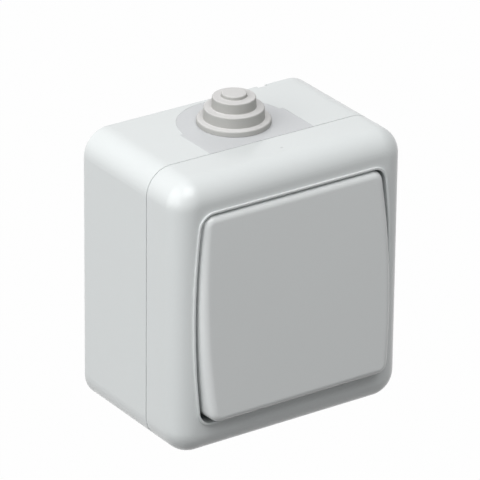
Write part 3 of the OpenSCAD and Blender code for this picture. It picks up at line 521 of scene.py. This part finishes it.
def rockerSurface():
    # the outline moves inwards along its own normals over a quarter round, r (1 - sin a) inwards and
    # r (1 - cos a) below the face, where r blends from the ends' value to the sides'
    r, o, k = rockerCap, opening, rockerClip
    loop = lambda d: bowedLoop(o["width"] - 2 * r["sideGap"], o["height"] - 2 * r["endGap"], o["bow"],
                               o["cornerRadius"] - r["sideGap"], d)
    foot, under = r["face"] - r["rim"], r["face"] - r["faceWall"]
    outer = loop(0.0)
    inwards = loop(1.0) - outer
    radius = r["endRound"] + (r["sideRound"] - r["endRound"]) * inwards[:, 0] ** 2
    edge = outer + inwards * (radius[:, None] + 0.15)
    rows = [atHeight(edge * s, r["face"]) for s in (0.02, 0.25, 0.5, 0.75, 0.93, 1.0)]
    rows += [atHeight(outer + inwards * (radius * (1 - math.sin(a)))[:, None], r["face"] - radius * (1 - math.cos(a)))
             for a in np.radians(np.linspace(0, 90, 15))]
    rows += carried(loop, softPath([
        (0.0, r["face"] - 3.0, 0), (0.0, foot, 0.2), (r["sideWall"], foot, 0.2), (r["sideWall"], under, 0.5),
        (r["sideWall"] + 1.5, under, 0)]))
    inner = loop(r["sideWall"] + 1.5)
    rows += [atHeight(inner * s, under) for s in (0.75, 0.5, 0.25, 0.02)]
    hook = k["cradleTop"] - k["cradleWall"] - k["gap"]
    parts = [surface(rows, poles=True)]
    for sx in (-1, 1):
        parts.append(postSurface(sx * k["x"], 0, k["rib"], 2 * k["ribHalf"], k["cradleTop"], under + 0.5))
        for sy in (-1, 1):
            leg = sy * (k["y"] + k["thickness"] / 2)
            parts.append(postSurface(sx * k["x"], leg, k["width"], k["thickness"], hook - 1, under + 0.5))
            parts.append(postSurface(sx * k["x"], sy * (k["y"] - k["bite"] / 2 + 0.1), k["width"], k["bite"] + 0.2,
                                     hook - 1, hook, 0.2))
    return [(atRest(v), q, t) for v, q, t in parts]


rockerPiece = makePiece("rocker_cap", rockerSurface(), rockerPlastic, "rocker", ("rocker",))

grommet = {
    "axisZ": 15.6, "flangeRadius": 9.05, "flangeHeight": 1.5, "stepRadii": (7.35, 5.3, 3.1),
    "stepTops": (4.3, 7.0, 7.9), "edgeRound": 0.35, "footRound": 0.2, "neckRadius": 6.35, "neckLength": 3.6,
    "innerFlange": 7.6, "innerHeight": 1.2, "boreRadius": 5.0, "wall": 1.0, "around": 128,
}


def grommetSurface():
    # stepped outside, neck, inner flange and the hollow inside, carried round the entry's axis
    g = grommet
    e, f = g["edgeRound"], g["footRound"]
    r0, r1, r2 = g["stepRadii"]
    t0, t1, t2 = g["stepTops"]
    low = -g["neckLength"]
    path = np.array(softPath([
        (0.02, t2, 0), (r2, t2, e), (r2 + 0.05, t1, f), (r1, t1, e), (r1 + 0.1, t0, f), (r0, t0, e),
        (r0 + 0.1, g["flangeHeight"], f), (g["flangeRadius"], g["flangeHeight"], 0.45), (g["flangeRadius"], 0.0, 0.25),
        (g["neckRadius"], 0.0, 0.1), (g["neckRadius"], low, 0.1), (g["innerFlange"], low, 0.3),
        (g["innerFlange"], low - g["innerHeight"], 0.3), (g["boreRadius"], low - g["innerHeight"], 0.3),
        (g["boreRadius"], t0 - g["wall"], 0.4), (r1 - g["wall"], t0 - g["wall"], 0.2),
        (r1 - g["wall"], t1 - g["wall"], 0.4), (0.02, t1 - g["wall"], 0)], steps=6, support=0.1))
    verts, quads, tris = surface(turnedPath(path, 0, 0, g["around"]), poles=True)
    out = np.stack([verts[:, 0], verts[:, 2] + housing["height"] / 2, g["axisZ"] - verts[:, 1]], axis=-1)
    # painted shade on the grommet: the outside's steep walls get up to 1, every other point 0
    step = np.gradient(path, axis=0)
    slope = np.abs(step[:, 1]) / np.maximum(np.hypot(step[:, 0], step[:, 1]), 1e-6)
    outside = (path[:, 1] > 0.05) & (np.arange(len(path)) < len(path) // 2)
    wall = np.where(outside, np.clip(slope * 1.6 - 0.6, 0, 1), 0.0)
    return (out, quads, tris), np.concatenate([np.repeat(wall, g["around"]), [0.0, 0.0]])


grommetMesh, grommetPaintedShade = grommetSurface()
grommetPiece = makePiece("grommet_skin", [grommetMesh], grommetRubber, "housing", ("cable_grommet",),
                         attribute=("paintedWallShade", grommetPaintedShade))

entryPlate = {
    "width": 29.8, "straight": 13.4, "endRadius": 13.9, "gap": 0.015, "front": 27.68, "thickness": 2.3,
    "lap": 1.4, "flange": 1.2, "bore": 6.45, "edgeRound": 0.08,
}


def plateLoop(grow):
    # straight front edge, straight sides, a small step inwards, and a round end about the grommet's axis
    p = entryPlate
    half = p["width"] / 2 + grow
    r = p["endRadius"] + grow
    axis = grommet["axisZ"]
    step = housing["parting"] - p["straight"] - grow
    front = p["front"]
    startAngle = math.asin((step - axis) / r)
    stepX = r * math.cos(startAngle)
    return np.vstack([
        linePoints((half, front), (half, step), 24), linePoints((half, step), (stepX, step), 6),
        arcPoints(0, axis, r, startAngle, -math.pi - startAngle, 80),
        linePoints((-stepX, step), (-half, step), 6), linePoints((-half, step), (-half, front), 24),
        linePoints((-half, front), (half, front), 48)])


def plateSurface():
    # rows from the bore's edge over the top to the outline, down the side, round the hidden flange and back
    p = entryPlate
    top = housing["height"] / 2
    axis = grommet["axisZ"]
    edge = plateLoop(-p["gap"])
    a = np.unwrap(np.arctan2(edge[:, 1] - axis, edge[:, 0]))
    bore = np.stack([p["bore"] * np.cos(a), axis + p["bore"] * np.sin(a)], axis=-1)
    e = p["edgeRound"]
    place = lambda xy, y: np.stack([xy[:, 0], np.full(len(xy), y), xy[:, 1]], axis=-1)
    toward = lambda d: edge + (bore - edge) / np.linalg.norm(bore - edge, axis=1, keepdims=True) * d
    lower = top - p["thickness"]
    flangeEdge = plateLoop(p["lap"])
    flangeEdge[:, 1] = np.clip(flangeEdge[:, 1], 2.5, 24.0)
    rows = [place(bore, lower - p["flange"]), place(bore, top - e)]
    rows += [place(bore + (edge - bore) * k, top) for k in (0.01, 0.04, 0.3, 0.6, 0.9)]
    rows += [place(toward(e * 1.8), top), place(toward(e), top), place(toward(e * 0.3), top - e * 0.3)]
    rows += [place(edge, top - e), place(edge, top - e * 2), place(edge, lower)]
    rows += [place(flangeEdge, lower), place(flangeEdge, lower - p["flange"])]
    return surface(rows, closeRows=True)


platePiece = makePiece("entry_plate_skin", [plateSurface()], platePlastic, "housing", ("entry_plate",))

view = {
    "place": (-0.59407, -0.88450, 0.49882), "yaw": 0.6014, "pitch": 0.4389, "roll": 0.0107, "lens": 360.08,
}


def makeCamera():
    # forward = (sin yaw cos pitch, cos yaw cos pitch, -sin pitch); right is level, then both roll
    y, p, r = view["yaw"], view["pitch"], view["roll"]
    forward = Vector((math.sin(y) * math.cos(p), math.cos(y) * math.cos(p), -math.sin(p)))
    right = Vector((math.cos(y), -math.sin(y), 0.0))
    up = right.cross(forward)
    r2 = right * math.cos(r) + up * math.sin(r)
    u2 = up * math.cos(r) - right * math.sin(r)
    data = bpy.data.cameras.new("camera")
    data.sensor_width = 36.0
    data.lens = view["lens"]
    data.clip_start = 0.05
    data.clip_end = 50.0
    cam = bpy.data.objects.new("camera", data)
    bpy.context.scene.collection.objects.link(cam)
    m = Matrix((r2, u2, -forward)).transposed().to_4x4()
    m.translation = Vector(view["place"])
    cam.matrix_world = m
    bpy.context.scene.camera = cam


makeCamera()

studio = {
    "sky": 0.29, "floorShade": (0.06, 0.06, 0.06, 1.0), "floorWhite": 0.99,
    "lamps": {
        "overhead": {"aim": (-0.22, 0.04, 0.975), "away": 1.2, "size": 0.5, "watts": 0.8},
        "left": {"aim": (-0.93, 0.05, 0.36), "away": 1.6, "size": 2.0, "watts": 26.0},
        "high": {"aim": (-0.18, -0.50, 0.85), "away": 1.3, "size": 0.9, "watts": 9.3},
    },
}


def makeLamp(name, look):
    # a square lamp at aim * away, turned to face the switch
    aim = Vector(look["aim"]).normalized()
    data = bpy.data.lights.new(name, "AREA")
    data.size = look["size"]
    data.energy = look["watts"]
    lamp = bpy.data.objects.new(name, data)
    bpy.context.scene.collection.objects.link(lamp)
    lamp.rotation_euler = aim.to_track_quat("Z", "Y").to_euler()
    lamp.location = aim * look["away"]


def whiteWhereSeen(tree, lit, white, amount):
    # camera, glossy and transmission rays see white mixed in by amount; all others see the lit surface
    path = tree.nodes.new("ShaderNodeLightPath")
    seen = path.outputs["Is Camera Ray"]
    for ray in ("Is Glossy Ray", "Is Transmission Ray"):
        most = tree.nodes.new("ShaderNodeMath")
        most.operation = "MAXIMUM"
        tree.links.new(seen, most.inputs[0])
        tree.links.new(path.outputs[ray], most.inputs[1])
        seen = most.outputs[0]
    part = tree.nodes.new("ShaderNodeMath")
    part.operation = "MULTIPLY"
    part.inputs[1].default_value = amount
    tree.links.new(seen, part.inputs[0])
    mix = tree.nodes.new("ShaderNodeMixShader")
    tree.links.new(part.outputs[0], mix.inputs[0])
    tree.links.new(lit.outputs[0], mix.inputs[1])
    tree.links.new(white.outputs[0], mix.inputs[2])
    return mix.outputs[0]


def makeFloor():
    # a plain square under the switch
    z = -housing["height"] / 2000 - 0.00002
    s = 3.0
    data = bpy.data.meshes.new("floor")
    data.from_pydata([(-s, -s, z), (s, -s, z), (s, s, z), (-s, s, z)], [], [(0, 1, 2, 3)])
    obj = bpy.data.objects.new("floor", data)
    bpy.context.scene.collection.objects.link(obj)
    mat = bpy.data.materials.new("floorPaper")
    mat.use_nodes = True
    tree = mat.node_tree
    tree.nodes.clear()
    out = tree.nodes.new("ShaderNodeOutputMaterial")
    paper = tree.nodes.new("ShaderNodeBsdfDiffuse")
    paper.inputs["Color"].default_value = studio["floorShade"]
    white = tree.nodes.new("ShaderNodeEmission")
    white.inputs["Strength"].default_value = 1.0
    tree.links.new(whiteWhereSeen(tree, paper, white, studio["floorWhite"]), out.inputs["Surface"])
    data.materials.append(mat)


def makeSky():
    # an even grey dome that lights the switch and looks white
    world = bpy.data.worlds.new("studioSky")
    bpy.context.scene.world = world
    world.use_nodes = True
    tree = world.node_tree
    tree.nodes.clear()
    out = tree.nodes.new("ShaderNodeOutputWorld")
    sky = tree.nodes.new("ShaderNodeBackground")
    sky.inputs["Color"].default_value = (1, 1, 1, 1)
    sky.inputs["Strength"].default_value = studio["sky"]
    white = tree.nodes.new("ShaderNodeBackground")
    white.inputs["Color"].default_value = (1, 1, 1, 1)
    white.inputs["Strength"].default_value = 1.0
    tree.links.new(whiteWhereSeen(tree, sky, white, 1.0), out.inputs["Surface"])


for lampName, lampLook in studio["lamps"].items():
    makeLamp(lampName, lampLook)
makeFloor()
makeSky()
bpy.context.scene.view_settings.view_transform = "Standard"
print("camera, floor and light set")
